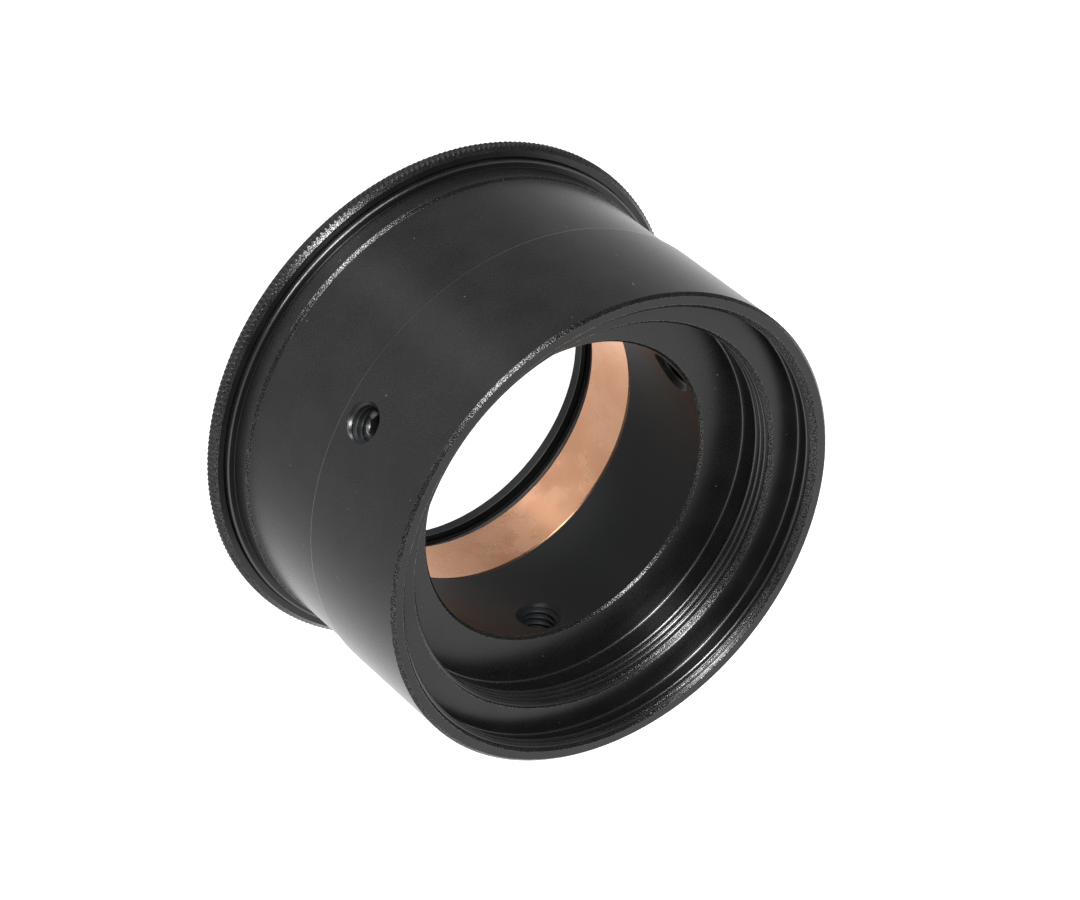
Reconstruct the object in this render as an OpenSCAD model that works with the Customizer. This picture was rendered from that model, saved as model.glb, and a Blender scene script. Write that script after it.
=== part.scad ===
// Adapter that carries a 1.25 inch eyepiece in a 2 inch focuser.
// Axis along Z. Z = 0 is the rear face that the eyepiece enters; +Z points to the telescope.
// All sizes in millimetres.

/* [Barrel] */
// overall length, rear face to front rim
total_len = 30.7; // [28:0.1:36]
// outside diameter of the barrel
barrel_od = 50.8; // [50.6:0.05:50.85]
// diameter inside the safety undercut
undercut_od = 50.3; // [49.8:0.1:50.6]
// height of the rear end of the undercut
undercut_low = 4.2; // [3.6:0.1:8]
// height of the front end of the undercut
undercut_high = 16.2; // [12:0.1:18]
// chamfer on the outside of the front rim
rim_chamfer = 0.3; // [0.2:0.05:0.8]
// diameter of the seating collar behind the barrel
collar_od = 52.3; // [51.8:0.1:53]
// height of the collar's front face
collar_high = 2.2; // [2:0.1:3]
// height of the collar's rear face
collar_low = 1.45; // [1.3:0.05:1.7]
// smooth bore that guides the eyepiece
bore_d = 32.3; // [32:0.05:33]

/* [Front threads] */
// wall diameter of the outer (48 mm) thread
filter_thread_d = 47.2; // [47:0.05:47.4]
// depth of the outer thread's step face below the rim
filter_depth = 3.0; // [2.5:0.1:4]
// length of the outer thread with its lead-in
filter_thread_len = 1.7; // [1.3:0.1:2.4]
// wall diameter of the inner (42 mm) thread
t_thread_d = 41.2; // [41:0.05:41.4]
// depth of the inner thread's step face below the rim
t_depth = 8.1; // [7:0.1:10]
// distance from the rim to the end of the inner thread
t_thread_end = 6.0; // [5:0.1:7]
// how far each relief groove is cut beyond its thread wall
relief_cut = 0.45; // [0.3:0.05:0.6]

/* [Set screws] */
// number of radial set screws, evenly spaced
screw_count = 3; // [3:1:3]
// distance of the screw axes from the front rim
screw_from_rim = 11.4; // [10:0.1:14]
// thread diameter of the set screws
screw_d = 4.0; // [3:0.5:4]
// length of each set screw
screw_len = 5.0; // [4:0.5:6]
// depth of each screw's outer end below the barrel surface
screw_recess = 1.7; // [0.5:0.1:3]
// width across flats of the hexagon socket
socket_af = 2.0; // [1.5:0.5:2]
// depth of the hexagon socket
socket_depth = 2.2; // [1.5:0.1:2.5]
// direction of the first screw, degrees from +X
screw_az = -90; // [-180:5:180]

/* [Clamp ring] */
// diameter over the knurl
knurl_od = 54.8; // [54:0.1:57]
// number of knurl teeth
knurl_teeth = 288; // [180:12:320]
// depth of the knurl teeth
knurl_cut = 0.15; // [0.1:0.05:0.35]
// height of the clamp ring's front face
knurl_high = 1.55; // [1.5:0.05:2.2]
// diameter of the hole in the clamp ring's lip
lip_d = 32.7; // [32.4:0.1:33.2]
// height of the lip's inner face
lip_high = 2.05; // [1.8:0.05:2.4]
// diameter of the fine thread that joins ring and barrel
skirt_d = 42.86; // [42:0.02:43.4]
// height of the top of the threaded skirt
skirt_high = 6.0; // [5:0.1:6.2]
// angle the clamp ring turns between its stops
twist_angle = 60; // [30:5:90]

/* [Compression ring] */
// inside diameter of the split ring when relaxed
squeeze_id = 32.8; // [32.4:0.1:33.2]
// outside diameter of the split ring
squeeze_od = 36.0; // [35.4:0.1:36.2]
// height of its rear end
squeeze_low = 2.85; // [2.8:0.05:3.2]
// height of its front end
squeeze_high = 9.7; // [9:0.1:9.8]
// width of the split
split_gap = 2.0; // [1.6:0.1:3]
// direction of the split, degrees from +X
split_az = -30; // [-180:5:180]

/* [Washer and pins] */
// thickness of the slip washer
washer_t = 0.5; // [0.3:0.1:0.6]
// diameter of the stop pin
stop_pin_d = 1.2; // [1:0.1:1.4]
// distance of the stop pin from the axis
stop_pin_r = 23.6; // [23.2:0.1:24]
// direction of the stop pin, degrees from +X
stop_pin_az = 90; // [-180:5:180]
// diameter of the key pin
key_pin_d = 1.0; // [0.8:0.1:1.2]
// distance of the key pin from the axis
key_pin_r = 17.2; // [17.1:0.1:17.4]

/* [Hidden] */
$fn = 96;
// 45 degree chamfer of plain edges
edge_chamfer = 0.3;
fine_chamfer = 0.15;
// chamfer of the edges that the eyepiece slides past
guide_chamfer = 0.2;
// small clearance between parts that move or slide on each other
play = 0.1;
barrel_r = barrel_od / 2;
undercut_r = undercut_od / 2;
collar_r = collar_od / 2;
bore_r = bore_d / 2;
filter_r = filter_thread_d / 2;
t_r = t_thread_d / 2;
knurl_r = knurl_od / 2;
knurl_root = knurl_r - knurl_cut;
// the rim under the teeth, and the width of its plain edges
rim_r = knurl_root - 0.15;
rim_edge = 0.25;
lip_r = lip_d / 2;
skirt_r = skirt_d / 2;
skirt_lead_in = 0.4;
// the barrel's rear thread wall, with running clearance round the skirt
well_r = skirt_r + 0.07;
well_high = skirt_high + 0.4;
skirt_in_r = squeeze_od / 2 + 0.45;
// pocket of the split ring inside the barrel
pocket_r = squeeze_od / 2 + 0.15;
pocket_high = squeeze_high + play;
cone_low = squeeze_high - 1.8;
squeeze_end_r = squeeze_od / 2 - 1.05;
// front step faces as heights
filter_face = total_len - filter_depth;
t_face = total_len - t_depth;
// 45 degree lead-ins of the two front threads, and the bevel at the bore's mouth
filter_lead_in = 0.6;
t_lead_in = 0.45;
bore_mouth = 0.25;
// width of the slope at each end of the undercut
undercut_front_slope = 0.15;
undercut_rear_slope = 0.5;
collar_chamfer = 0.25;
screw_z = total_len - screw_from_rim;
screw_hole_r = screw_d / 2 + 0.05;
// countersinks of the screw holes: how deep each starts, and the height of the cutting cone
outer_sink = 0.15;
inner_sink = 0.2;
sink_cone = 0.4;
// the clamp ring's web under the collar
web_high = collar_low - 0.3;
ring_well_r = collar_r + play;
// the two pins: their lower ends, and how deep each sits in the barrel
stop_pin_low = 0.8;
stop_pin_sunk = 2;
key_pin_low = pocket_high - 1.8;
key_pin_sunk = 2;
stop_slot_low = 0.5;
stop_slot_r = stop_pin_d / 2 + 0.2;
// the set screw's cup point, its chamfers at both ends and its outer face
cup_depth = 0.45;
cup_r = 0.75;
point_r = 1.05;
screw_chamfer = 0.35;

// half section of the barrel, front rim first, then down the outside and back up the inside
module barrel_section() {
    polygon([
        [filter_r + filter_lead_in, total_len],
        [barrel_r - rim_chamfer, total_len],
        [barrel_r, total_len - rim_chamfer],
        [barrel_r, undercut_high],
        [undercut_r, undercut_high - undercut_front_slope],
        [undercut_r, undercut_low + undercut_rear_slope],
        [barrel_r, undercut_low],
        [barrel_r, collar_high],
        [collar_r - collar_chamfer, collar_high],
        [collar_r, collar_high - collar_chamfer],
        [collar_r, collar_low],
        [well_r + edge_chamfer, collar_low],
        [well_r, collar_low + edge_chamfer],
        [well_r, well_high],
        [pocket_r, well_high],
        [pocket_r, cone_low],
        [squeeze_end_r + play, pocket_high],
        [bore_r + guide_chamfer, pocket_high],
        [bore_r, pocket_high + edge_chamfer],
        [bore_r, t_face - 2 * bore_mouth],
        [bore_r + bore_mouth, t_face - bore_mouth],
        [t_r + relief_cut, t_face],
        [t_r + relief_cut, total_len - t_thread_end],
        [t_r, total_len - t_thread_end],
        [t_r, filter_face - t_lead_in],
        [t_r + t_lead_in, filter_face],
        [filter_r + relief_cut, filter_face],
        [filter_r + relief_cut, total_len - filter_thread_len],
        [filter_r, total_len - filter_thread_len],
        [filter_r, total_len - filter_lead_in]
    ]);
}

// one radial screw hole with a countersink at each mouth, along +X
module screw_hole() {
    translate([bore_r - 1, 0, 0])
        rotate([0, 90, 0])
            cylinder(h = barrel_r - bore_r + 2, r = screw_hole_r);
    translate([barrel_r - outer_sink, 0, 0])
        rotate([0, 90, 0])
            cylinder(h = sink_cone, r1 = screw_hole_r, r2 = screw_hole_r + sink_cone);
    translate([bore_r - inner_sink, 0, 0])
        rotate([0, 90, 0])
            cylinder(h = sink_cone, r1 = screw_hole_r + sink_cone, r2 = screw_hole_r);
}

module barrel() {
    color([0.06, 0.06, 0.065])
    difference() {
        rotate_extrude()
            barrel_section();
        for (i = [0 : screw_count - 1])
            rotate([0, 0, screw_az + i * 360 / screw_count])
                translate([0, 0, screw_z])
                    screw_hole();
        // blind hole of the stop pin
        rotate([0, 0, stop_pin_az])
            translate([stop_pin_r, 0, stop_pin_low])
                cylinder(h = collar_low + stop_pin_sunk - stop_pin_low, r = stop_pin_d / 2);
        // blind hole of the key pin
        rotate([0, 0, split_az])
            translate([key_pin_r, 0, key_pin_low])
                cylinder(h = pocket_high + key_pin_sunk - key_pin_low, r = key_pin_d / 2);
    }
}

// half section of the clamp ring without its teeth
module clamp_section() {
    polygon([
        [lip_r + fine_chamfer, 0],
        [rim_r - rim_edge, 0],
        [rim_r, rim_edge],
        [rim_r, knurl_high - rim_edge],
        [rim_r - rim_edge, knurl_high],
        [ring_well_r, knurl_high],
        [ring_well_r, web_high],
        [skirt_r, web_high],
        [skirt_r, skirt_high - skirt_lead_in],
        [skirt_r - skirt_lead_in, skirt_high],
        [skirt_in_r + edge_chamfer, skirt_high],
        [skirt_in_r, skirt_high - edge_chamfer],
        [skirt_in_r, lip_high],
        [lip_r + fine_chamfer, lip_high],
        [lip_r, lip_high - fine_chamfer],
        [lip_r, fine_chamfer]
    ]);
}

// ring of straight teeth round the rim
module knurl() {
    step = 360 / knurl_teeth;
    translate([0, 0, rim_edge - 0.1])
    linear_extrude(height = knurl_high - 2 * rim_edge + 0.2)
    difference() {
        polygon([
            for (i = [0 : knurl_teeth - 1], k = [0 : 1])
                let (a = (i + k / 2) * step, r = k == 0 ? knurl_r : knurl_root)
                    [r * cos(a), r * sin(a)]
        ]);
        circle(r = rim_r - 0.35);
    }
}

// arc slot in the web that the stop pin runs in
module stop_slot() {
    for (a = [0, -twist_angle])
        rotate([0, 0, stop_pin_az + a])
            translate([stop_pin_r, 0, stop_slot_low])
                cylinder(h = 2, r = stop_slot_r);
    rotate([0, 0, stop_pin_az - twist_angle])
        rotate_extrude(angle = twist_angle)
            translate([stop_pin_r - stop_slot_r, stop_slot_low])
                square([2 * stop_slot_r, 2]);
}

module clamp_ring() {
    color([0.07, 0.07, 0.075])
    difference() {
        union() {
            rotate_extrude()
                clamp_section();
            knurl();
        }
        stop_slot();
    }
}

module compression_ring() {
    color([0.72, 0.45, 0.33])
    difference() {
        rotate_extrude()
            polygon([
                [squeeze_id / 2 + guide_chamfer, squeeze_low],
                [squeeze_od / 2 - edge_chamfer, squeeze_low],
                [squeeze_od / 2, squeeze_low + edge_chamfer],
                [squeeze_od / 2, cone_low - 0.05],
                [squeeze_end_r, squeeze_high],
                [squeeze_id / 2 + guide_chamfer, squeeze_high],
                [squeeze_id / 2, squeeze_high - guide_chamfer],
                [squeeze_id / 2, squeeze_low + guide_chamfer]
            ]);
        rotate([0, 0, split_az])
            translate([squeeze_id / 2 - 2, -split_gap / 2, 0])
                cube([6, split_gap, 12]);
    }
}

module slip_washer() {
    color([0.04, 0.04, 0.04])
    translate([0, 0, lip_high])
    difference() {
        cylinder(h = washer_t, r = skirt_in_r - 0.15);
        translate([0, 0, -1])
            cylinder(h = washer_t + 2, r = lip_r + 0.45);
    }
}

module stop_pin() {
    color([0.62, 0.63, 0.65])
    rotate([0, 0, stop_pin_az])
        translate([stop_pin_r, 0, stop_pin_low])
            cylinder(h = collar_low + stop_pin_sunk - stop_pin_low, r = stop_pin_d / 2);
}

module key_pin() {
    color([0.62, 0.63, 0.65])
    rotate([0, 0, split_az])
        translate([key_pin_r, 0, key_pin_low])
            cylinder(h = pocket_high + key_pin_sunk - key_pin_low, r = key_pin_d / 2);
}

// set screw lying along +X, socket end outwards, cup point inwards
module set_screw(az) {
    outer = barrel_r - screw_recess;
    inner = outer - screw_len;
    color([0.1, 0.1, 0.11])
    rotate([0, 0, az])
    translate([0, 0, screw_z])
    rotate([0, 90, 0])
    difference() {
        translate([0, 0, inner])
            rotate_extrude()
                polygon([
                    [0, cup_depth],
                    [cup_r, 0],
                    [point_r, 0],
                    [screw_d / 2, screw_d / 2 - point_r],
                    [screw_d / 2, screw_len - screw_chamfer],
                    [screw_d / 2 - screw_chamfer, screw_len],
                    [0, screw_len]
                ]);
        translate([0, 0, outer - socket_depth])
            cylinder(h = socket_depth + 1, r = socket_af / 2 / cos(30), $fn = 6);
    }
}

module set_screw_1() {
    set_screw(screw_az);
}

module set_screw_2() {
    set_screw(screw_az + 360 / screw_count);
}

module set_screw_3() {
    set_screw(screw_az + 720 / screw_count);
}

barrel();
clamp_ring();
compression_ring();
slip_washer();
stop_pin();
key_pin();
set_screw_1();
set_screw_2();
set_screw_3();
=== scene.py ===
import math
from collections import namedtuple

import bmesh
import bpy
import numpy as np
from mathutils import Matrix, Vector


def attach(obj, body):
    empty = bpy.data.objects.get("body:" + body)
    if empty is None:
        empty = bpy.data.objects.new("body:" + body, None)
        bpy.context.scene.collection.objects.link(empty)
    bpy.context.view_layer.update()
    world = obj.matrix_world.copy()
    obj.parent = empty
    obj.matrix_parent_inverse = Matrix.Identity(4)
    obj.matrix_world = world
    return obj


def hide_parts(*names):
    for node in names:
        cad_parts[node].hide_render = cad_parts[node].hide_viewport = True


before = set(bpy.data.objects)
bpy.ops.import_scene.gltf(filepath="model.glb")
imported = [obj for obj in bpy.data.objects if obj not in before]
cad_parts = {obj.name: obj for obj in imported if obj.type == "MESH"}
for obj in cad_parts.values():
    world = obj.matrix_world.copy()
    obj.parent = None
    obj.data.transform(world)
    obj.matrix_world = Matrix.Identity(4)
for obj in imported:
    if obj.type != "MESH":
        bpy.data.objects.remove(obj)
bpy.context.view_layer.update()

MM = 0.001
TAU = 2 * math.pi

# ---------------------------------------------------------------- sizes, mm
# Heights are measured from the rear face. LOW is the rear end of a feature, HIGH its front end.
TOTAL_LEN = 30.7
BARREL_R = 25.4
UNDERCUT_R = 25.15
UNDERCUT_LOW, UNDERCUT_HIGH = 4.2, 16.2
UNDERCUT_REAR_SLOPE, UNDERCUT_FRONT_SLOPE = 0.3, 0.15
COLLAR_R, COLLAR_LOW, COLLAR_HIGH = 26.15, 1.45, 2.2
BORE_R = 16.15
BORE_MOUTH = 0.25

# 45 degree chamfers: of plain edges, of edges that the eyepiece slides past, of the lip
EDGE, GUIDE_EDGE, FINE_EDGE = 0.3, 0.2, 0.15
# clearance between parts that fit into each other
PLAY = 0.1

# The two front threads: radii of crest, root and relief groove, then heights of the step face,
# of the thread's rear end, of its first turn at azimuth 0, of its lead-in and of its front end.
FRONT_PITCH = 0.75
Thread = namedtuple("Thread", "crest root groove face low first lead_in high")
FILTER = Thread(
    crest=23.6, root=24.0, groove=24.05,
    face=TOTAL_LEN - 3.0, low=TOTAL_LEN - 1.7, first=TOTAL_LEN - 1.56,
    lead_in=TOTAL_LEN - 0.6, high=TOTAL_LEN - 0.2,
)
TEE = Thread(
    crest=20.6, root=21.0, groove=21.05,
    face=TOTAL_LEN - 8.1, low=TOTAL_LEN - 6.0, first=TOTAL_LEN - 5.88,
    lead_in=FILTER.face - 0.45, high=FILTER.face - 0.05,
)

# the set screws and their holes; along a hole, sizes are distances from the optical axis
SCREW_Z = TOTAL_LEN - 11.4
SCREW_AZIMUTHS = (-90, 30, 150)
SCREW_PITCH = 0.7
HOLE_CREST, HOLE_ROOT = 1.69, 2.05
OUTER_SINK_X, INNER_SINK_X = BARREL_R - 0.15, BORE_R + 0.2
SCREW_OUTER = BARREL_R - 1.7
SCREW_INNER = SCREW_OUTER - 5.0
SCREW_CREST, SCREW_ROOT = 1.97, 1.62
POINT_R, CUP_R, CUP_DEPTH = 1.05, 0.75, 0.45
SCREW_FACE_R = 1.67
SOCKET_AF, SOCKET_DEPTH, SOCKET_CONE_R = 2.0, 2.2, 1.27

# the clamp ring: knurled rim, threaded skirt in the barrel's well, lip behind the copper ring
KNURL_TIP, KNURL_VALLEY, KNURL_TEETH = 27.4, 27.2, 288
KNURL_FRONT_CHAMFER, KNURL_REAR_CHAMFER = 0.5, 0.3
RING_HIGH = 1.55
RING_WELL_R, WEB_HIGH = COLLAR_R + PLAY, COLLAR_LOW - EDGE
SKIRT_R, SKIRT_IN_R, SKIRT_HIGH, SKIRT_LEAD_IN = 21.43, 18.45, 6.0, 0.4
LIP_R, LIP_HIGH = 16.35, 2.05
WELL_R, WELL_HIGH = SKIRT_R + 0.07, SKIRT_HIGH + 0.4

# the split compression ring in its pocket, with a cone at its front end
SQUEEZE_IN_R, SQUEEZE_OUT_R = 16.4, 18.0
SQUEEZE_LOW, SQUEEZE_HIGH = 2.85, 9.7
SQUEEZE_END_R = SQUEEZE_OUT_R - 1.05
CONE_LOW = SQUEEZE_HIGH - 1.8
POCKET_R, POCKET_HIGH = SQUEEZE_OUT_R + 0.15, SQUEEZE_HIGH + PLAY
SPLIT_GAP, SPLIT_AZIMUTH = 2.0, -30

# the washer on the lip, and the pins: azimuth, distance from the axis, radius, low end, high end
WASHER_IN_R, WASHER_OUT_R = LIP_R + 0.47, SKIRT_IN_R - 0.17
WASHER_LOW, WASHER_HIGH = LIP_HIGH + 0.02, LIP_HIGH + 0.48
STOP_PIN = (90, 23.6, 0.6, 0.8, COLLAR_LOW + 2.0)
KEY_PIN = (SPLIT_AZIMUTH, 17.2, 0.5, POCKET_HIGH - 1.8, POCKET_HIGH + 2.0)


# ---------------------------------------------------------------- mesh tools
# a worn facet narrower than this keeps its full wear up to the corner
NARROW = 0.7
# distance of a support point from the end of a corner's rounding
HOLD = 0.05
# lengths below this are taken as nothing
TINY = 1e-4
# the most of a side that a rounding takes, and the turn between its points in degrees
SIDE_SHARE = 0.4
ROUNDING_STEP = 18


def support_wear(wear, neighbour, length):
    """Wear beside a corner: full across a narrow worn facet, a quarter on a wide one."""
    return wear if wear == neighbour and length < NARROW else 0.25 * wear


def rounded(points):
    """Open polyline of (r, z, corner radius, wear) with its inner corners rounded and
    held by a support point on each side. Returns rows of (r, z, wear)."""
    p = [np.array(q[:2], float) for q in points]
    rows = [(p[0][0], p[0][1], points[0][3])]
    for i in range(1, len(p) - 1):
        back, ahead = p[i - 1] - p[i], p[i + 1] - p[i]
        back_len, ahead_len = np.linalg.norm(back), np.linalg.norm(ahead)
        back, ahead = back / back_len, ahead / ahead_len
        turn = math.pi - math.acos(max(-1.0, min(1.0, float(back @ ahead))))
        radius, wear = points[i][2], points[i][3]
        reach = min(radius * math.tan(turn / 2), SIDE_SHARE * back_len, SIDE_SHARE * ahead_len)
        if radius <= 0 or reach < TINY:
            rows.append((*p[i], wear))
            continue
        hold = reach + HOLD
        if back_len > 2 * (hold + HOLD):
            rows.append((*(p[i] + back * hold), support_wear(wear, points[i - 1][3], back_len)))
        steps = max(2, math.ceil(math.degrees(turn) / ROUNDING_STEP))
        for k in range(steps + 1):
            t = k / steps
            q = (
                (1 - t) ** 2 * (p[i] + back * reach)
                + 2 * t * (1 - t) * p[i]
                + t**2 * (p[i] + ahead * reach)
            )
            rows.append((*q, wear))
        if ahead_len > 2 * (hold + HOLD):
            rows.append((*(p[i] + ahead * hold), support_wear(wear, points[i + 1][3], ahead_len)))
    rows.append((p[-1][0], p[-1][1], points[-1][3]))
    return rows


def cyclic(table, t):
    """Value at phase t of a closed table of (phase, value)."""
    phases = [q[0] for q in table] + [table[0][0] + 1]
    values = [q[1] for q in table] + [table[0][1]]
    return float(np.interp((t - phases[0]) % 1.0 + phases[0], phases, values))


class Shell:
    """Collects grids of points, merges their shared edges and makes one mesh of them."""

    def __init__(self):
        self.points, self.wear, self.faces = [], [], []

    def grid(self, xyz, wear, skip=None, close_rows=False):
        """xyz is (columns, rows, 3). skip(column, row) leaves a face out."""
        cols, rows = xyz.shape[:2]
        base = len(self.points)
        self.points.extend(xyz.reshape(-1, 3).tolist())
        self.wear.extend(np.broadcast_to(wear, (cols, rows)).reshape(-1).tolist())
        for c in range(cols - 1):
            for r in range(rows if close_rows else rows - 1):
                if skip and skip(c, r):
                    continue
                s = (r + 1) % rows
                a, b = base + c * rows, base + (c + 1) * rows
                self.faces.append((a + r, b + r, b + s, a + s))

    def polygon(self, xyz):
        """One flat face with that outline."""
        base = len(self.points)
        self.points.extend([list(q) for q in xyz])
        self.wear.extend([0.0] * len(xyz))
        self.faces.append(tuple(range(base, base + len(xyz))))

    def build(self, name, smooth_deg=32.0, merge=3e-4):
        """Mesh object of all the grids. Points within merge mm of each other become one."""
        bm = bmesh.new()
        wear = bm.verts.layers.float.new("wear")
        verts = []
        for q, w in zip(self.points, self.wear):
            v = bm.verts.new((q[0] * MM, q[1] * MM, q[2] * MM))
            v[wear] = w
            verts.append(v)
        for f in self.faces:
            bm.faces.new([verts[i] for i in f])
        bmesh.ops.remove_doubles(bm, verts=bm.verts, dist=merge * MM)
        bmesh.ops.dissolve_degenerate(bm, edges=bm.edges, dist=1e-5 * MM)
        loose = [v for v in bm.verts if not v.link_faces]
        bmesh.ops.delete(bm, geom=loose, context="VERTS")
        bmesh.ops.triangulate(bm, faces=[f for f in bm.faces if len(f.verts) > 4])
        bmesh.ops.recalc_face_normals(bm, faces=bm.faces)
        open_edges = sum(1 for e in bm.edges if len(e.link_faces) != 2)
        me = bpy.data.meshes.new(name)
        bm.to_mesh(me)
        bm.free()
        me.shade_smooth()
        me.set_sharp_from_angle(angle=math.radians(smooth_deg))
        ob = bpy.data.objects.new(name, me)
        bpy.context.scene.collection.objects.link(ob)
        print(f"{name}: {len(me.polygons)} faces, {open_edges} open edges")
        return ob


def around(angles, rows):
    """Plain rows (r, z, wear) swept round Z at the given angles."""
    r = np.array([q[0] for q in rows])
    z = np.array([q[1] for q in rows])
    w = np.array([q[2] for q in rows])
    c, s = np.cos(angles)[:, None], np.sin(angles)[:, None]
    xyz = np.stack([c * r, s * r, np.broadcast_to(z, (len(angles), len(r)))], axis=2)
    return xyz, w


def thread_rows(turn, low, high, pitch, start, table):
    """Heights and depths (0 crest, 1 root) of a thread's feature lines after a part turn,
    held between low and high, so that every angle has the same number of rows."""
    first = math.floor((low - start) / pitch) - 2
    last = math.ceil((high - start) / pitch) + 1
    out = []
    for n in range(first, last + 1):
        for phase, depth in table:
            z = start + pitch * (n + phase + turn)
            held = min(max(z, low), high)
            if held != z:
                depth = cyclic(table, (held - start) / pitch - turn)
            out.append((held, depth))
    return out


# A 60 degree thread as (phase in the pitch, depth from crest to root). Crest and root are
# rounded, and the flanks between them are straight.
FEMALE = [
    (-0.048, 0.188), (-0.004, 0.088), (0.057, 0.023), (0.12, 0.0), (0.17, 0.0),
    (0.205, 0.02), (0.30, 0.20), (0.325, 0.275), (0.495, 0.83), (0.52, 0.905),
    (0.555, 0.97), (0.60, 1.0), (0.675, 1.0), (0.705, 0.98), (0.726, 0.92),
]
# The male thread's ridge stands in the middle of the female thread's groove. Its two sides
# are alike: (distance from the ridge's middle, depth).
RIDGE = 0.625
RIDGE_SIDE = [(0.378, 1.0), (0.354, 0.94), (0.124, 0.143), (0.071, 0.038)]
MALE = [(RIDGE - away, depth) for away, depth in RIDGE_SIDE]
MALE += [(RIDGE, 0.0)]
MALE += [(RIDGE + away, depth) for away, depth in RIDGE_SIDE[::-1]]


def thread_wear(depth, in_lead_in):
    """Speckled on the lead-in, burnished on the crests and in the roots."""
    if in_lead_in:
        return 1.0
    return -1.0 if depth < 0.25 or depth > 0.8 else 0.0


def front_thread(angles, thread):
    """Internal thread round Z with its 45 degree lead-in, as a grid."""
    grid, wear = [], []
    for a in angles:
        column, worn = [], []
        for z, depth in thread_rows(a / TAU, thread.low, thread.high, FRONT_PITCH, thread.first, FEMALE):
            thread_r = thread.crest + (thread.root - thread.crest) * depth
            lead_in_r = thread.crest + z - thread.lead_in
            r = max(thread_r, lead_in_r)
            column.append((r * math.cos(a), r * math.sin(a), z))
            worn.append(thread_wear(depth, lead_in_r > thread_r + TINY))
        grid.append(column)
        wear.append(worn)
    return np.array(grid), np.array(wear)


def groove_step(angles, thread):
    """Flat step from the front end of a relief groove in to the first turn, as a grid."""
    grid = []
    for a in angles:
        depth = cyclic(FEMALE, (thread.low - thread.first) / FRONT_PITCH - a / TAU)
        inner = thread.crest + (thread.root - thread.crest) * depth
        grid.append([(r * math.cos(a), r * math.sin(a), thread.low) for r in (thread.groove, inner)])
    return np.array(grid), 0.0


# ---------------------------------------------------------------- barrel
COLUMNS = 480
STEP = TAU / COLUMNS
HOLE_SIDES = 96


def patch_heights(low, high, half):
    """Heights of the grid lines of a patch round a hole, with the hole's axis in the middle."""
    below = list(np.linspace(low, SCREW_Z, half + 1))
    above = list(np.linspace(SCREW_Z, high, half + 1))
    return below + above[1:]


# patches of grid round the outer and the inner mouths of the screw holes
OUT_HALF_COLS, OUT_HALF_ROWS = 9, 15
IN_HALF_COLS, IN_HALF_ROWS = 14, 10
OUT_HEIGHTS = patch_heights(UNDERCUT_HIGH + 0.2, SCREW_Z + 2.9, OUT_HALF_ROWS)
IN_HEIGHTS = patch_heights(SCREW_Z - 2.7, SCREW_Z + 2.65, IN_HALF_ROWS)
# where the rows from a patch's border to the hole's lip lie, as shares of the way
PATCH_SHARES = (0, 0.18, 0.36, 0.54, 0.72, 0.88, 1.0)
# the hole's rounded lip: how far each row is sunk, and how far it lies outside the edge
LIP_ROWS = ((0.0, 0.035), (0.008, 0.012), (0.03, -0.02))
LIP_MARGIN = 0.07
# wear of that lip and of the crests of the hole's thread
LIP_WEAR, HOLE_CREST_WEAR = 0.45, -0.6


def patch_border(half_cols, half_rows, heights):
    """Grid points round a hole as (angle from the hole, height), counter-clockwise from +angle."""
    right, left = half_cols * STEP, -half_cols * STEP
    n = half_rows
    out = [(right, heights[n + k]) for k in range(n)]
    out += [(right - k * STEP, heights[2 * n]) for k in range(2 * half_cols)]
    out += [(left, heights[2 * n - k]) for k in range(2 * n)]
    out += [(left + k * STEP, heights[0]) for k in range(2 * half_cols)]
    out += [(right, heights[k]) for k in range(n)]
    return out


def hole_frame(azimuth):
    """Direction of a hole's axis, outwards, and the level direction across it."""
    a = math.radians(azimuth)
    return np.array([math.cos(a), math.sin(a), 0]), np.array([-math.sin(a), math.cos(a), 0])


def on_wall(radius, side, height, axis, across):
    """Point on the cylinder of that radius, side to one side of the hole's axis."""
    return axis * math.sqrt(radius**2 - side**2) + across * side + np.array([0, 0, height])


def mouth(radius, angle, slope_at):
    """Radius of the countersink where it meets the wall, at an angle round the hole."""
    rho = HOLE_ROOT
    for _ in range(20):
        rho = slope_at(math.sqrt(radius**2 - (rho * math.cos(angle)) ** 2))
    return rho


def outer_sink(x):
    """Radius of a hole's outer countersink at a distance x from the optical axis."""
    return HOLE_ROOT + (x - OUTER_SINK_X)


def inner_sink(x):
    """Radius of a hole's inner countersink at a distance x from the optical axis."""
    return HOLE_ROOT + (INNER_SINK_X - x)


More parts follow.
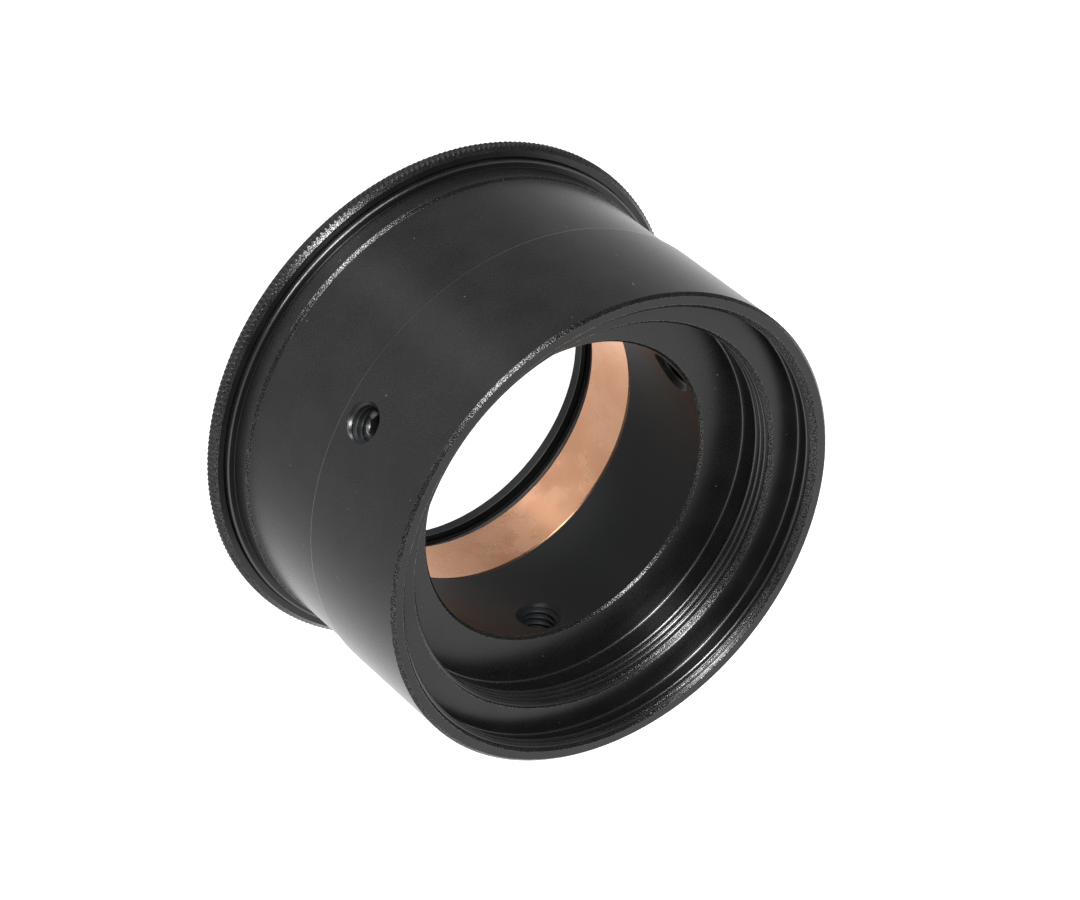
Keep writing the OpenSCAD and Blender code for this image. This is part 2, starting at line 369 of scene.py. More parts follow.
def screw_hole(shell, azimuth):
    """Both mouths of a threaded screw hole with the patches round them, and its thread."""
    axis, across = hole_frame(azimuth)
    angles = [TAU * k / HOLE_SIDES for k in range(HOLE_SIDES + 1)]
    ends = (
        (BARREL_R, OUT_HALF_COLS, OUT_HALF_ROWS, OUT_HEIGHTS, outer_sink),
        (BORE_R, IN_HALF_COLS, IN_HALF_ROWS, IN_HEIGHTS, inner_sink),
    )
    for radius, half_cols, half_rows, heights, sink in ends:
        border = patch_border(half_cols, half_rows, heights)
        border.append(border[0])
        inward = -1 if radius == BARREL_R else 1
        grid, wear = [], []
        for (turn, height), angle in zip(border, angles):
            rho = mouth(radius, angle, sink)
            lip = rho + LIP_MARGIN
            column, worn = [], []
            for s in PATCH_SHARES:
                side = (1 - s) * radius * math.sin(turn) + s * lip * math.cos(angle)
                up = (1 - s) * height + s * (SCREW_Z + lip * math.sin(angle))
                column.append(on_wall(radius, side, up, axis, across))
                worn.append(0.0)
            # rounded lip, then down the countersink
            for drop, out in LIP_ROWS:
                q = rho + out
                p = on_wall(radius, q * math.cos(angle), SCREW_Z + q * math.sin(angle), axis, across)
                column.append(p + axis * inward * drop)
                worn.append(LIP_WEAR)
            x = OUTER_SINK_X if radius == BARREL_R else INNER_SINK_X
            p = axis * x + across * HOLE_ROOT * math.cos(angle)
            column.append(p + np.array([0, 0, SCREW_Z + HOLE_ROOT * math.sin(angle)]))
            worn.append(0.0)
            grid.append(column)
            wear.append(worn)
        shell.grid(np.array(grid), np.array(wear))
    grid, wear = [], []
    for angle in angles:
        column, worn = [], []
        for x, depth in thread_rows(angle / TAU, INNER_SINK_X, OUTER_SINK_X, SCREW_PITCH, 0.0, FEMALE):
            rho = max(
                HOLE_CREST + (HOLE_ROOT - HOLE_CREST) * depth,
                outer_sink(x),
                inner_sink(x),
            )
            p = axis * x + across * rho * math.cos(angle)
            column.append(p + np.array([0, 0, SCREW_Z + rho * math.sin(angle)]))
            worn.append(HOLE_CREST_WEAR * (1 - min(1.0, depth * 4)))
        grid.append(column)
        wear.append(worn)
    shell.grid(np.array(grid), np.array(wear))


def make_barrel():
    """Points of the turned outlines are (radius, height, corner radius, wear)."""
    shell = Shell()
    angles = np.array([i * STEP for i in range(COLUMNS + 1)])
    front = rounded([
        (FILTER.root, FILTER.high, 0, 1.0),
        (FILTER.root + TOTAL_LEN - FILTER.high, TOTAL_LEN, 0.06, 1.0),
        (BARREL_R - EDGE, TOTAL_LEN, 0.06, 1.0),
        (BARREL_R, TOTAL_LEN - EDGE, 0.07, 1.0),
        (BARREL_R, OUT_HEIGHTS[-1], 0, 0),
    ])
    rear = rounded([
        (BARREL_R, OUT_HEIGHTS[0], 0, 0.3),
        (BARREL_R, UNDERCUT_HIGH, 0.16, -1.0),
        (UNDERCUT_R, UNDERCUT_HIGH - UNDERCUT_FRONT_SLOPE, 0.05, 0.0),
        (UNDERCUT_R, UNDERCUT_LOW + UNDERCUT_REAR_SLOPE, 0.10, 1.0),
        (BARREL_R, UNDERCUT_LOW, 0.10, 1.0),
        (BARREL_R, COLLAR_HIGH, 0.10, 0.0),
        (COLLAR_R, COLLAR_HIGH, 0.24, -1.0),
        (COLLAR_R, COLLAR_LOW + 0.35, 0, 0.0),
        (COLLAR_R, COLLAR_LOW, 0.05, 0.0),
        (WELL_R + EDGE, COLLAR_LOW, 0.05, 0.2),
        (WELL_R, COLLAR_LOW + EDGE, 0.05, 0.0),
        (WELL_R, WELL_HIGH, 0.10, 0.0),
        (POCKET_R, WELL_HIGH, 0.06, 0.2),
        (POCKET_R, CONE_LOW, 0.10, 0.0),
        (SQUEEZE_END_R + PLAY, POCKET_HIGH, 0.10, 0.0),
        (BORE_R + GUIDE_EDGE, POCKET_HIGH, 0.05, 0.5),
        (BORE_R, POCKET_HIGH + EDGE, 0.06, 0.7),
        (BORE_R, IN_HEIGHTS[0], 0, 0),
    ])
    step = rounded([
        (BORE_R, IN_HEIGHTS[-1], 0, 0),
        (BORE_R, TEE.face - 2 * BORE_MOUTH, 0.05, 1.0),
        (BORE_R + BORE_MOUTH, TEE.face - BORE_MOUTH, 0.05, 1.0),
        (TEE.groove, TEE.face, 0.22, -1.0),
        (TEE.groove, TEE.low, 0, 0.2),
    ])
    between = rounded([
        (TEE.root, TEE.high, 0, 1.0),
        (TEE.root + FILTER.face - TEE.high, FILTER.face, 0.06, 1.0),
        (FILTER.groove, FILTER.face, 0.22, -1.0),
        (FILTER.groove, FILTER.low, 0, 0.2),
    ])
    for rows in (front, rear, step, between):
        shell.grid(*around(angles, rows))

    holes = [round(math.radians(a) / STEP) % COLUMNS for a in SCREW_AZIMUTHS]
    for radius, heights, half in (
        (BARREL_R, OUT_HEIGHTS[::-1], OUT_HALF_COLS),
        (BORE_R, IN_HEIGHTS, IN_HALF_COLS),
    ):
        shell.grid(
            *around(angles, [(radius, z, 0.0) for z in heights]),
            skip=lambda c, r, half=half: any((c - h + half) % COLUMNS < 2 * half for h in holes),
        )
    for thread in (TEE, FILTER):
        shell.grid(*front_thread(angles, thread))
    for thread in (TEE, FILTER):
        shell.grid(*groove_step(angles, thread))
    for azimuth in SCREW_AZIMUTHS:
        screw_hole(shell, azimuth)
    return shell.build("barrel_shell")


# ---------------------------------------------------------------- clamp ring
# one tooth as (phase in the pitch, depth from tip to valley)
TOOTH = ((-0.07, 0.0), (0.07, 0.0), (0.42, 0.94), (0.5, 1.0), (0.58, 0.94))


def make_clamp_ring():
    """The plain inside is one turned outline, and the rim follows the teeth."""
    shell = Shell()
    teeth = []
    for i in range(KNURL_TEETH):
        for phase, depth in TOOTH:
            teeth.append(((i + phase) * TAU / KNURL_TEETH, depth))
    teeth.append((teeth[0][0] + TAU, teeth[0][1]))
    angles = np.array([t[0] for t in teeth])
    depth = np.array([t[1] for t in teeth])
    tooth_r = KNURL_TIP - (KNURL_TIP - KNURL_VALLEY) * depth

    front_r = KNURL_TIP - KNURL_FRONT_CHAMFER
    rear_r = KNURL_TIP - KNURL_REAR_CHAMFER
    inside = rounded([
        (front_r, RING_HIGH, 0, 1.0),
        (front_r - 0.06, RING_HIGH, 0, 0.0),
        (RING_WELL_R, RING_HIGH, 0.03, 0.0),
        (RING_WELL_R, WEB_HIGH, 0.05, 0.0),
        (SKIRT_R, WEB_HIGH, 0.05, 0.0),
        (SKIRT_R, SKIRT_HIGH - SKIRT_LEAD_IN, 0.06, 0.2),
        (SKIRT_R - SKIRT_LEAD_IN, SKIRT_HIGH, 0.06, 0.2),
        (SKIRT_IN_R + EDGE, SKIRT_HIGH, 0.06, 0.2),
        (SKIRT_IN_R, SKIRT_HIGH - EDGE, 0.06, 0.2),
        (SKIRT_IN_R, LIP_HIGH, 0.06, 0.0),
        # wear -2 on the lip's front part, beside the gap behind the copper ring: painted shade, stained
        # near black as if unlit
        (LIP_R + FINE_EDGE, LIP_HIGH, 0.05, -2.0),
        (LIP_R, LIP_HIGH - FINE_EDGE, 0.05, -2.0),
        (LIP_R, LIP_HIGH - 0.8, 0, -2.0),
        (LIP_R, LIP_HIGH - 0.95, 0, 0.0),
        (LIP_R, FINE_EDGE, 0.05, 0.2),
        (LIP_R + FINE_EDGE, 0.0, 0.05, 0.2),
        (rear_r, 0.0, 0, 0.7),
    ])
    shell.grid(*around(angles, inside))
    grid, wear = [], []
    for a, r in zip(angles, tooth_r):
        # both chamfers are 45 degrees: heights where the tooth's radius meets them
        top = RING_HIGH - (r - front_r)
        low = r - rear_r
        rows = (
            (rear_r, 0.0, 0.7),
            (rear_r + 0.02, 0.02, 0.6),
            (r - 0.012, low - 0.012, 0.6),
            (r, low + 0.02, 0.4),
            (r, top - 0.03, 0.4),
            (r - 0.010, top + 0.014, 1.0),
            (front_r + 0.015, RING_HIGH - 0.024, 1.0),
            (front_r, RING_HIGH, 1.0),
        )
        grid.append([(q * math.cos(a), q * math.sin(a), z) for q, z, _ in rows])
        wear.append([worn for _, _, worn in rows])
    shell.grid(np.array(grid), np.array(wear))
    return shell.build("clamp_ring_shell", smooth_deg=25)


# ---------------------------------------------------------------- inner parts
def make_compression_ring():
    """Its closed section is swept round Z from one side of the split to the other."""
    shell = Shell()
    seam = (SQUEEZE_IN_R + 0.8, SQUEEZE_LOW, 0, 0.1)
    profile = rounded([
        seam,
        (SQUEEZE_OUT_R - EDGE, SQUEEZE_LOW, 0.05, 0.3),
        (SQUEEZE_OUT_R, SQUEEZE_LOW + EDGE, 0.05, 0.3),
        (SQUEEZE_OUT_R, CONE_LOW - 0.05, 0.10, 0.3),
        (SQUEEZE_END_R, SQUEEZE_HIGH, 0.06, 0.3),
        # wear -1 on the front edge: the copper material paints it dark, as painted shade
        (SQUEEZE_IN_R + GUIDE_EDGE, SQUEEZE_HIGH, 0.02, -1.0),
        (SQUEEZE_IN_R, SQUEEZE_HIGH - GUIDE_EDGE, 0.02, -1.0),
        (SQUEEZE_IN_R, SQUEEZE_LOW + GUIDE_EDGE, 0.05, 1.0),
        (SQUEEZE_IN_R + GUIDE_EDGE, SQUEEZE_LOW, 0.05, 1.0),
        seam,
    ])[:-1]
    columns = 240
    start = math.radians(SPLIT_AZIMUTH)
    grid = []
    for k in range(columns + 1):
        t = k / columns
        column = []
        for r, z, _ in profile:
            gap = math.asin(SPLIT_GAP / 2 / r)
            a = start + gap + t * (TAU - 2 * gap)
            column.append((r * math.cos(a), r * math.sin(a), z))
        grid.append(column)
    grid = np.array(grid)
    shell.grid(grid, np.array([q[2] for q in profile]), close_rows=True)
    shell.polygon(grid[0])
    shell.polygon(grid[-1][::-1])
    return shell.build("compression_ring_shell")


def make_washer():
    shell = Shell()
    seam = (WASHER_IN_R + 0.68, WASHER_LOW, 0, 0)
    profile = rounded([
        seam,
        (WASHER_OUT_R, WASHER_LOW, 0.08, 0.3),
        (WASHER_OUT_R, WASHER_HIGH, 0.08, 0.3),
        (WASHER_IN_R, WASHER_HIGH, 0.08, 0.5),
        (WASHER_IN_R, WASHER_LOW, 0.08, 0.5),
        seam,
    ])[:-1]
    angles = np.linspace(0, TAU, 241)
    shell.grid(*around(angles, profile), close_rows=True)
    return shell.build("slip_washer_shell")


def make_pin(name, azimuth, distance, radius, low, high):
    """A pin along Z with rounded ends."""
    shell = Shell()
    rounding = 0.4 * radius
    profile = rounded([
        (0.0, low, 0, 0.2),
        (radius, low, rounding, 0.8),
        (radius, high, rounding, 0.8),
        (0.0, high, 0, 0.2),
    ])
    xyz, wear = around(np.linspace(0, TAU, 49), profile)
    a = math.radians(azimuth)
    xyz = xyz + np.array([distance * math.cos(a), distance * math.sin(a), 0])
    shell.grid(xyz, wear)
    return shell.build(name)


# ---------------------------------------------------------------- set screws
def hex_radius(angle):
    """Distance from the middle of the hexagon socket to its wall."""
    folded = (math.degrees(angle) + 30) % 60 - 30
    return SOCKET_AF / 2 / math.cos(math.radians(folded))


def make_set_screw(name, azimuth):
    shell = Shell()
    axis, across = hole_frame(azimuth)
    up = np.array([0, 0, 1.0])
    angles = [TAU * k / HOLE_SIDES for k in range(HOLE_SIDES + 1)]

    def place(rho, x, angle):
        return axis * x + across * rho * math.cos(angle) + up * (SCREW_Z + rho * math.sin(angle))

    def thread_radius(depth):
        return SCREW_CREST - (SCREW_CREST - SCREW_ROOT) * depth

    # inner end: cup point, as (radius, distance, wear)
    cup = (
        (0.0, SCREW_INNER + CUP_DEPTH, 0.0),
        (CUP_R - 0.03, SCREW_INNER + 0.02, 0.6),
        (CUP_R + 0.03, SCREW_INNER, 0.8),
        (POINT_R - 0.03, SCREW_INNER, 0.8),
    )
    grid, wear = [], []
    for angle in angles:
        rows = list(cup)
        turn = angle / TAU
        for x, depth in thread_rows(turn, SCREW_INNER, SCREW_OUTER, SCREW_PITCH, 0.0, MALE):
            rho = min(
                thread_radius(depth),
                POINT_R + (x - SCREW_INNER),
                SCREW_FACE_R + (SCREW_OUTER - x),
            )
            rows.append((rho, x, 0.6 * (1 - depth)))
        # outer end: face, countersunk hexagon socket with a drilled bottom
        face_depth = cyclic(MALE, SCREW_OUTER / SCREW_PITCH - turn)
        face_r = min(thread_radius(face_depth), SCREW_FACE_R)
        hexagon = hex_radius(angle)
        socket_top = SCREW_OUTER - (SOCKET_CONE_R - hexagon) * 0.8
        socket_low = SCREW_OUTER - SOCKET_DEPTH
        rows += [
            (face_r - 0.05, SCREW_OUTER, 0.9),
            (SOCKET_CONE_R + 0.05, SCREW_OUTER, 0.9),
            (SOCKET_CONE_R + 0.01, SCREW_OUTER - 0.008, 1.0),
            (SOCKET_CONE_R - 0.02, SCREW_OUTER - 0.025, 1.0),
            (hexagon + 0.015, socket_top + 0.01, 0.8),
            (hexagon, socket_top - 0.015, 0.8),
            (hexagon, socket_low + 0.05, 0.0),
            (hexagon - 0.04, socket_low, 0.0),
            (0.0, socket_low - 0.25, 0.0),
        ]
        grid.append([place(rho, x, angle) for rho, x, _ in rows])
        wear.append([worn for _, _, worn in rows])
    shell.grid(np.array(grid), np.array(wear))
    return shell.build(name, smooth_deg=28)


# ---------------------------------------------------------------- materials
class Nodes:
    """A new material and short names for making and joining its nodes."""

    def __init__(self, name):
        self.mat = bpy.data.materials.new(name)
        self.mat.use_nodes = True
        self.tree = self.mat.node_tree
        self.bsdf = self.tree.nodes["Principled BSDF"]

    def add(self, kind, **values):
        node = self.tree.nodes.new(kind)
        for key, value in values.items():
            setattr(node, key, value)
        return node

    def link(self, source, target):
        self.tree.links.new(source, target)

    def put(self, socket, value):
        if isinstance(value, bpy.types.NodeSocket):
            self.link(value, socket)
        else:
            socket.default_value = value

    def math(self, operation, a, b=None):
        node = self.add("ShaderNodeMath", operation=operation)
        self.put(node.inputs[0], a)
        if b is not None:
            self.put(node.inputs[1], b)
        return node.outputs[0]

    def ramp(self, value, low, high, to_low=0.0, to_high=1.0):
        node = self.add("ShaderNodeMapRange", interpolation_type="SMOOTHSTEP")
        self.put(node.inputs["Value"], value)
        node.inputs["From Min"].default_value = low
        node.inputs["From Max"].default_value = high
        node.inputs["To Min"].default_value = to_low
        node.inputs["To Max"].default_value = to_high
        return node.outputs["Result"]

    def noise(self, vector, scale, detail=2.0, rough=0.5):
        node = self.add("ShaderNodeTexNoise")
        self.link(vector, node.inputs["Vector"])
        node.inputs["Scale"].default_value = scale
        node.inputs["Detail"].default_value = detail
        node.inputs["Roughness"].default_value = rough
        return node.outputs["Fac"]

    def mix(self, share, a, b):
        node = self.add("ShaderNodeMix", data_type="RGBA")
        self.put(node.inputs[0], share)
        self.put(node.inputs[6], a)
        self.put(node.inputs[7], b)
        return node.outputs[2]

    def bump(self, height, strength, distance, normal=None):
        node = self.add("ShaderNodeBump")
        self.put(node.inputs["Strength"], strength)
        node.inputs["Distance"].default_value = distance
        self.link(height, node.inputs["Height"])
        if normal is not None:
            self.link(normal, node.inputs["Normal"])
        return node.outputs["Normal"]


# share of the angle in the lathe marks' texture place: small, so that the marks run round
ALONG_MARKS = 0.0012


def round_axis(n):
    """Object position, radius, height, and the texture place of lathe marks."""
    place = n.add("ShaderNodeTexCoord").outputs["Object"]
    split = n.add("ShaderNodeSeparateXYZ")
    n.link(place, split.inputs[0])
    x, y, z = split.outputs
    radius = n.math("SQRT", n.math("ADD", n.math("MULTIPLY", x, x), n.math("MULTIPLY", y, y)))
    turned = n.add("ShaderNodeCombineXYZ")
    n.link(radius, turned.inputs[0])
    n.link(z, turned.inputs[1])
    n.link(n.math("MULTIPLY", n.math("ARCTAN2", y, x), ALONG_MARKS), turned.inputs[2])
    return place, radius, z, turned.outputs[0]


# behind this height, and inside the radius dull_below, the anodising is duller
DULL_BEHIND = 22.0 * MM
DULL_BLEND = 0.05 * MM
DUST_COLOUR = (0.16, 0.155, 0.15, 1)
WORN_COLOUR = (0.10, 0.10, 0.10, 1)
DULL_COLOUR = (0.014, 0.0155, 0.0165, 1)
# colour of the painted shade in the gap behind the copper ring
PAINTED_GAP_SHADE_COLOUR = (0.002, 0.002, 0.002, 1)


def anodised(name, base, lift, rough, speck_density, edge_grit, dull_below):
    """Black anodised aluminium: turning marks, faint mottling, dust and worn edges. Wear is above 0 on
    speckled edges and -1 on burnished ones; at -2 the face is painted near black and dulled, as painted
    shade for the unlit gap behind the copper ring. The bore, inside the radius dull_below and behind
    DULL_BEHIND, is duller than the rest."""
    n = Nodes(name)
    place, radius, height, turned = round_axis(n)
    wear = n.add("ShaderNodeAttribute", attribute_name="wear").outputs["Fac"]
    mottle = n.noise(place, 260.0, 4.0, 0.55)
    fine = n.noise(place, 5200.0, 3.0, 0.6)
    grit = n.noise(place, 8500.0, 1.0, 0.5)
    marks = n.noise(turned, 9000.0, 2.0, 0.6)
    patchy = n.noise(place, 900.0, 3.0, 0.6)
    dust = n.ramp(n.noise(place, 2600.0, 1.0, 0.4), speck_density, speck_density + 0.035)

    edge = n.ramp(wear, 0.3, 0.9)
    # painted shade: wear -2 marks the gap behind the copper ring, darkened and dulled as if unlit
    painted_gap_shade = n.ramp(wear, -1.9, -1.1, 1.0, 0.0)
    burnished = n.math("SUBTRACT", n.ramp(wear, -0.9, -0.3, 1.0, 0.0), painted_gap_shade)
    worn = n.math("MULTIPLY", edge, n.ramp(patchy, 0.62, 0.74))
    inside = n.ramp(radius, dull_below - DULL_BLEND, dull_below, 1.0, 0.0)
    behind = n.ramp(height, DULL_BEHIND, DULL_BEHIND + DULL_BLEND, 1.0, 0.0)
    dull = n.math("MULTIPLY", inside, behind)

    colour = n.mix(n.ramp(mottle, 0.3, 0.75), (*base, 1), (*lift, 1))
    colour = n.mix(dust, colour, DUST_COLOUR)
    colour = n.mix(n.math("MULTIPLY", worn, 0.2), colour, WORN_COLOUR)
    colour = n.mix(dull, colour, DULL_COLOUR)
    colour = n.mix(painted_gap_shade, colour, PAINTED_GAP_SHADE_COLOUR)
    n.link(colour, n.bsdf.inputs["Base Color"])

    roughness = n.ramp(fine, 0.3, 0.7, rough - 0.012, rough + 0.012)
    roughness = n.math("ADD", roughness, n.math("MULTIPLY", dull, 0.15))
    roughness = n.math("SUBTRACT", roughness, n.math("MULTIPLY", burnished, 0.03))
    roughness = n.math("SUBTRACT", roughness, n.math("MULTIPLY", edge, 0.07))
    n.link(roughness, n.bsdf.inputs["Roughness"])

    sparkle = n.math("MULTIPLY", edge, n.ramp(grit, 0.44, 0.60, -0.3, 1.1))
    specular = n.math("ADD", n.ramp(dull, 0.0, 1.0, 0.5, 0.19), sparkle)
    specular = n.math("ADD", specular, n.math("MULTIPLY", burnished, 1.2))
    specular = n.math("SUBTRACT", specular, n.math("MULTIPLY", painted_gap_shade, 0.17))
    n.link(specular, n.bsdf.inputs["Specular IOR Level"])
    n.bsdf.inputs["IOR"].default_value = 1.5

    normal = n.bump(marks, 0.02, 0.02 * MM)
    normal = n.bump(fine, 0.012, 0.02 * MM, normal)
    normal = n.bump(grit, n.math("MULTIPLY", edge, edge_grit), 0.04 * MM, normal)
    n.link(normal, n.bsdf.inputs["Normal"])
    return n.mat


def copper():
    """Turned copper alloy: faint clouds, bright worn edges, and a front edge (wear -1) painted dark as
    painted shade, to dim its highlight.
    """
    n = Nodes("copper_alloy_satin")
    place, _, _, turned = round_axis(n)
    wear = n.add("ShaderNodeAttribute", attribute_name="wear").outputs["Fac"]
    cloud = n.noise(place, 340.0, 2.0, 0.5)
    grain = n.noise(place, 2600.0, 4.0, 0.65)
    marks = n.noise(turned, 7000.0, 2.0, 0.6)
    colour = n.mix(n.ramp(cloud, 0.2, 0.8), (0.89, 0.455, 0.265, 1), (0.95, 0.535, 0.335, 1))
    colour = n.mix(n.ramp(grain, 0.5, 0.8, 0.0, 0.2), colour, (0.66, 0.33, 0.20, 1))
    colour = n.mix(n.math("MULTIPLY", n.ramp(wear, 0.4, 1.0), 0.6), colour, (0.95, 0.78, 0.66, 1))
    # painted shade: the front edge, wear -1, darkened to dim its highlight
    colour = n.mix(n.ramp(wear, -0.9, -0.3, 0.88, 0.0), colour, (0.20, 0.10, 0.06, 1))
    n.link(colour, n.bsdf.inputs["Base Color"])
    n.bsdf.inputs["Metallic"].default_value = 0.9
    n.link(n.ramp(cloud, 0.2, 0.8, 0.25, 0.29), n.bsdf.inputs["Roughness"])
    normal = n.bump(marks, 0.06, 0.02 * MM)
    n.link(n.bump(grain, 0.02, 0.03 * MM, normal), n.bsdf.inputs["Normal"])
    return n.mat


def steel(name, base, lift, rough, metallic):
    """Grained steel, scuffed lighter on its worn edges."""
    n = Nodes(name)
    place = round_axis(n)[0]
    wear = n.add("ShaderNodeAttribute", attribute_name="wear").outputs["Fac"]
    grain = n.noise(place, 2400.0, 4.0, 0.6)
    scuff = n.noise(place, 1500.0, 2.0, 0.5)
    colour = n.mix(n.ramp(grain, 0.35, 0.7), (*base, 1), (*lift, 1))
    worn = n.math("MULTIPLY", n.ramp(wear, 0.4, 1.0), n.ramp(scuff, 0.45, 0.65))
    colour = n.mix(n.math("MULTIPLY", worn, 0.7), colour, (0.32, 0.32, 0.33, 1))
    n.link(colour, n.bsdf.inputs["Base Color"])
    n.bsdf.inputs["Metallic"].default_value = metallic
    n.link(n.ramp(grain, 0.3, 0.7, rough - 0.05, rough + 0.07), n.bsdf.inputs["Roughness"])
    n.link(n.bump(grain, 0.15, 0.02 * MM), n.bsdf.inputs["Normal"])
    return n.mat


def polymer():
    """Black plastic with a faint haze and turning marks."""
    n = Nodes("washer_polymer_satin")
    place, _, _, turned = round_axis(n)
    haze = n.noise(place, 700.0, 3.0, 0.5)
    marks = n.noise(turned, 5000.0, 2.0, 0.5)
    colour = n.mix(n.ramp(haze, 0.3, 0.7), (0.018, 0.018, 0.019, 1), (0.03, 0.03, 0.031, 1))
    n.link(colour, n.bsdf.inputs["Base Color"])
    n.link(n.ramp(haze, 0.3, 0.7, 0.42, 0.55), n.bsdf.inputs["Roughness"])
    n.link(n.bump(marks, 0.15, 0.02 * MM), n.bsdf.inputs["Normal"])
    return n.mat


barrel_black = anodised(
    "barrel_black_satin", (0.008, 0.008, 0.0085), (0.012, 0.012, 0.0125), 0.28,
    speck_density=0.80, edge_grit=0.7, dull_below=25.1 * MM,
)
ring_black = anodised(
    "ring_black_satin", (0.009, 0.009, 0.0095), (0.014, 0.014, 0.0145), 0.30,
    speck_density=0.79, edge_grit=0.3, dull_below=16.9 * MM,
)
copper_satin = copper()
pin_bright = steel("pin_bright_steel", (0.50, 0.50, 0.51), (0.62, 0.62, 0.63), 0.30, 1.0)
screw_black = steel("screw_black_oxide", (0.030, 0.030, 0.032), (0.055, 0.055, 0.058), 0.30, 0.6)
washer_black = polymer()


# ---------------------------------------------------------------- assembly
def finish_piece(piece, material, body, node):
    piece.data.materials.append(material)
    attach(piece, body)
    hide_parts(node)


finish_piece(make_barrel(), barrel_black, "barrel_body", "barrel")
finish_piece(make_clamp_ring(), ring_black, "clamp_body", "clamp_ring")
ring = make_compression_ring()
finish_piece(ring, copper_satin, "barrel_body", "compression_ring")
finish_piece(make_washer(), washer_black, "clamp_body", "slip_washer")
for pin_node, place in (("stop_pin", STOP_PIN), ("key_pin", KEY_PIN)):
    pin = make_pin(f"{pin_node}_shell", *place)
    finish_piece(pin, pin_bright, "barrel_body", pin_node)
for index, azimuth in enumerate(SCREW_AZIMUTHS, 1):
    screw = make_set_screw(f"set_screw_{index}_shell", azimuth)
    finish_piece(screw, screw_black, f"screw_{index}_body", f"set_screw_{index}")

# ---------------------------------------------------------------- floor
# half the floor's width and its height, just under the rear face, in metres
FLOOR_HALF, FLOOR_Z = 1.5, -0.2 * MM
CORNERS = ((-1, -1), (1, -1), (1, 1), (-1, 1))
floor_mesh = bpy.data.meshes.new("floor")
floor_mesh.from_pydata([(x * FLOOR_HALF, y * FLOOR_HALF, FLOOR_Z) for x, y in CORNERS], [], [range(4)])
floor = bpy.data.objects.new("floor", floor_mesh)
bpy.context.scene.collection.objects.link(floor)
light_table = Nodes("floor_light_table")
light_table.bsdf.inputs["Base Color"].default_value = (0.9, 0.9, 0.9, 1)
light_table.bsdf.inputs["Roughness"].default_value = 0.8
light_table.bsdf.inputs["Emission Color"].default_value = (1, 1, 1, 1)
light_table.bsdf.inputs["Emission Strength"].default_value = 1.0
floor_mesh.materials.append(light_table.mat)
# the floor is seen by the camera only, so that light also reaches the object from below
floor.visible_diffuse = False
floor.visible_glossy = False
floor.visible_transmission = False
floor.visible_shadow = False

# ---------------------------------------------------------------- camera
# angles in degrees and the camera's place in mm, fitted to the circles in the photograph
CAMERA_AZIMUTH, CAMERA_ELEVATION, CAMERA_ROLL = -105.55, 43.671, 129.026
CAMERA_PLACE = Vector((-87.015, -306.903, 320.541)) * MM
az, el, roll = (math.radians(v) for v in (CAMERA_AZIMUTH, CAMERA_ELEVATION, CAMERA_ROLL))
back = Vector((math.cos(az) * math.cos(el), math.sin(az) * math.cos(el), math.sin(el)))
level = Vector((0, 0, 1)).cross(back).normalized()
over = back.cross(level)
right = level * math.cos(roll) + over * math.sin(roll)
up = back.cross(right)
camera = bpy.data.objects.new("camera", bpy.data.cameras.new("camera"))
bpy.context.scene.collection.objects.link(camera)
camera.data.lens = 150
camera.data.sensor_width = 36
camera.data.clip_start = 0.01
camera.data.clip_end = 20
camera.matrix_world = Matrix.Translation(CAMERA_PLACE) @ Matrix((right, up, back)).transposed().to_4x4()
bpy.context.scene.camera = camera

# ---------------------------------------------------------------- light
scene = bpy.context.scene
scene.view_settings.view_transform = "Standard"
world = bpy.data.worlds.new("studio")
scene.world = world
world.use_nodes = True

# The object is lit as if it hung in a light tent. Soft boxes stand all round it:
# azimuth and elevation in degrees, strength. The tighter a box is, the smaller it looks.
SOFT_BOXES = (
    (75, 0, 1.9), (75, 45, 0.65), (75, -45, 0.85),
    (-15, 0, 0.6), (-15, 45, 0.6), (165, 0, 0.1), (165, -45, 0.2),
    (30, -45, 0.75), (-60, -45, 0.5), (120, -45, 0.2), (0, 90, 0.2),
)
BOX_TIGHT = 6.0
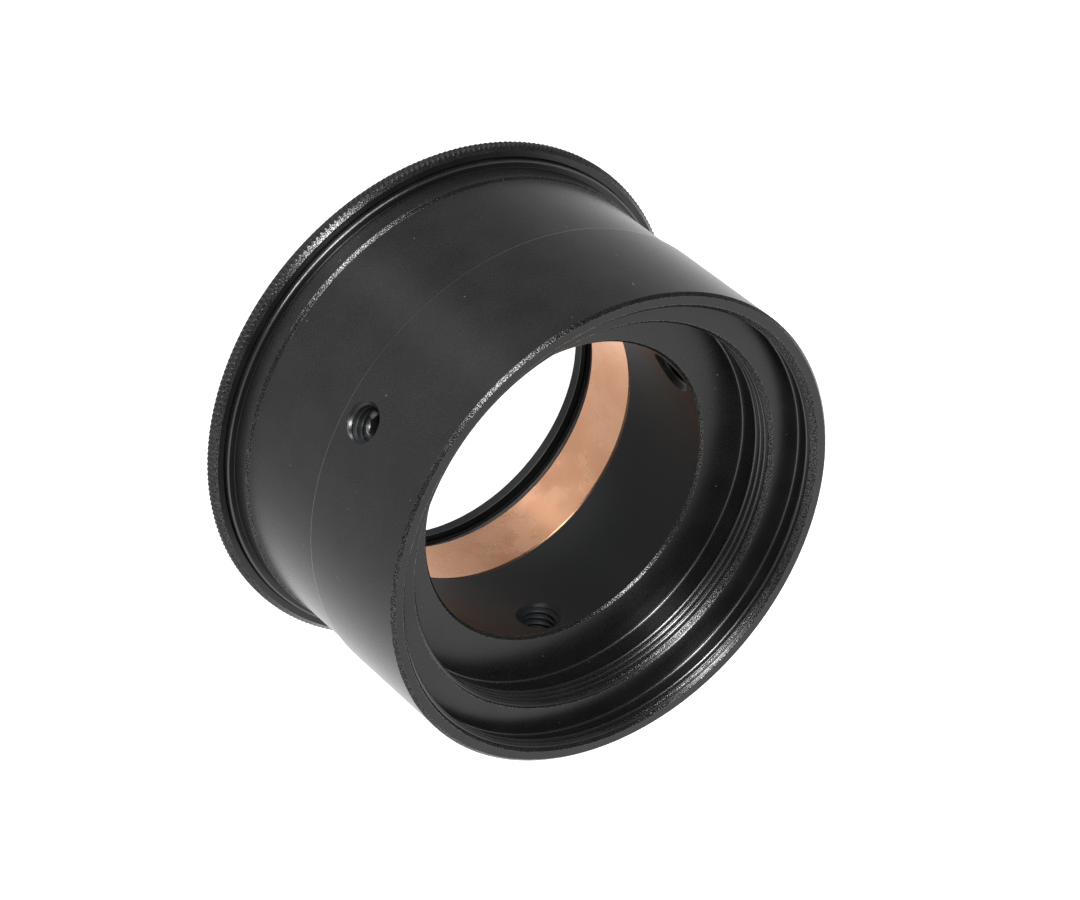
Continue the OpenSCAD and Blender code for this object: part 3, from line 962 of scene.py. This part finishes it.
# Small bright boxes beside the camera: azimuth and tilt in degrees, strength. Each stands where
# a piece of the barrel's side that faces this azimuth, and is tilted forward by this tilt,
# mirrors it to the camera. They make the short bright lines on the walls, the bevels and the
# thread crests.
GLINTS = (
    (-115.5, 0, 1.0), (-115.5, 13, 18), (-115.5, 26.6, 8), (-115.5, 36, 36), (-115.5, 48, 28),
    (-127.5, 13, 16), (-103.5, 13, 32), (-103.5, 28, 3),
)
GLINT_TIGHT = 150.0


def heading(azimuth, elevation):
    """Unit vector at an azimuth and elevation in degrees."""
    a, e = math.radians(azimuth), math.radians(elevation)
    return Vector((math.cos(a) * math.cos(e), math.sin(a) * math.cos(e), math.sin(e)))


def light_list():
    """Direction, strength and tightness of every box."""
    boxes = [(heading(a, e), strength, BOX_TIGHT) for a, e, strength in SOFT_BOXES]
    for azimuth, tilt, strength in GLINTS:
        normal = heading(azimuth, tilt)
        mirrored = 2 * normal.dot(back) * normal - back
        boxes.append((mirrored, strength, GLINT_TIGHT))
    return boxes


def light_tent():
    """World light: the sum of all boxes, each a round lobe about its direction."""
    tree = world.node_tree
    background = tree.nodes["Background"]
    place = tree.nodes.new("ShaderNodeTexCoord").outputs["Generated"]

    def step(operation, a, b=None):
        node = tree.nodes.new("ShaderNodeMath")
        node.operation = operation
        for socket, value in zip(node.inputs, (a, b)):
            if isinstance(value, bpy.types.NodeSocket):
                tree.links.new(value, socket)
            elif value is not None:
                socket.default_value = value
        return node.outputs[0]

    total = None
    for direction, strength, tight in light_list():
        facing = tree.nodes.new("ShaderNodeVectorMath")
        facing.operation = "DOT_PRODUCT"
        tree.links.new(place, facing.inputs[0])
        facing.inputs[1].default_value = direction
        lobe = step("MULTIPLY", step("SUBTRACT", facing.outputs["Value"], 1.0), tight)
        lobe = step("MULTIPLY", step("EXPONENT", lobe), strength)
        total = lobe if total is None else step("ADD", total, lobe)
    tree.links.new(total, background.inputs["Strength"])
    background.inputs["Color"].default_value = (1, 1, 1, 1)


light_tent()
